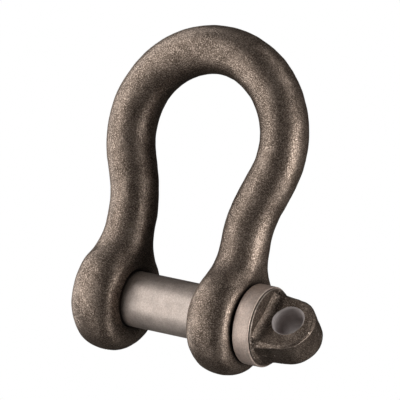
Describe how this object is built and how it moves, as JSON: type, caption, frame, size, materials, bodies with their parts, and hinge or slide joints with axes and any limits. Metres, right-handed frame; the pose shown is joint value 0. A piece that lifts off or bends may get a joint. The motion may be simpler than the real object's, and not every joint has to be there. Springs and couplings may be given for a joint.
{
  "type": "bow shackle",
  "caption": "Forged bow shackle with rounded crown, two round ears and a screw collar pin turned by its eye head.",
  "frame": {"origin": "on the pin's axis, midway between the two ears", "axes": "+X along the pin towards its collar and eye head, +Z towards the crown of the bow, +Y through the opening of the bow"},
  "size_m": [0.1105, 0.0438, 0.1333],
  "materials": {
    "forged_steel": "self-coloured forged steel, shot-blasted, satin",
    "machined_steel": "fine turned"
  },
  "bodies": {
    "bow": {"bow": "forged_steel"},
    "collar": {"pin_collar": "machined_steel"},
    "pin": {"screw_pin": "machined_steel"}
  },
  "joints": [
    {"name": "pin_travel", "type": "slide", "parent": "bow", "child": "collar", "axis": [1, 0, 0], "range_m": [0, 0.075]},
    {"name": "pin_turn", "type": "hinge", "parent": "collar", "child": "pin", "pos_m": [0, 0, 0], "axis": [1, 0, 0], "range_deg": [0, 10800]}
  ],
  "couplings": [
    {"joint": "pin_travel", "follows": "pin_turn", "m_per_rad": 0.00039789}
  ]
}
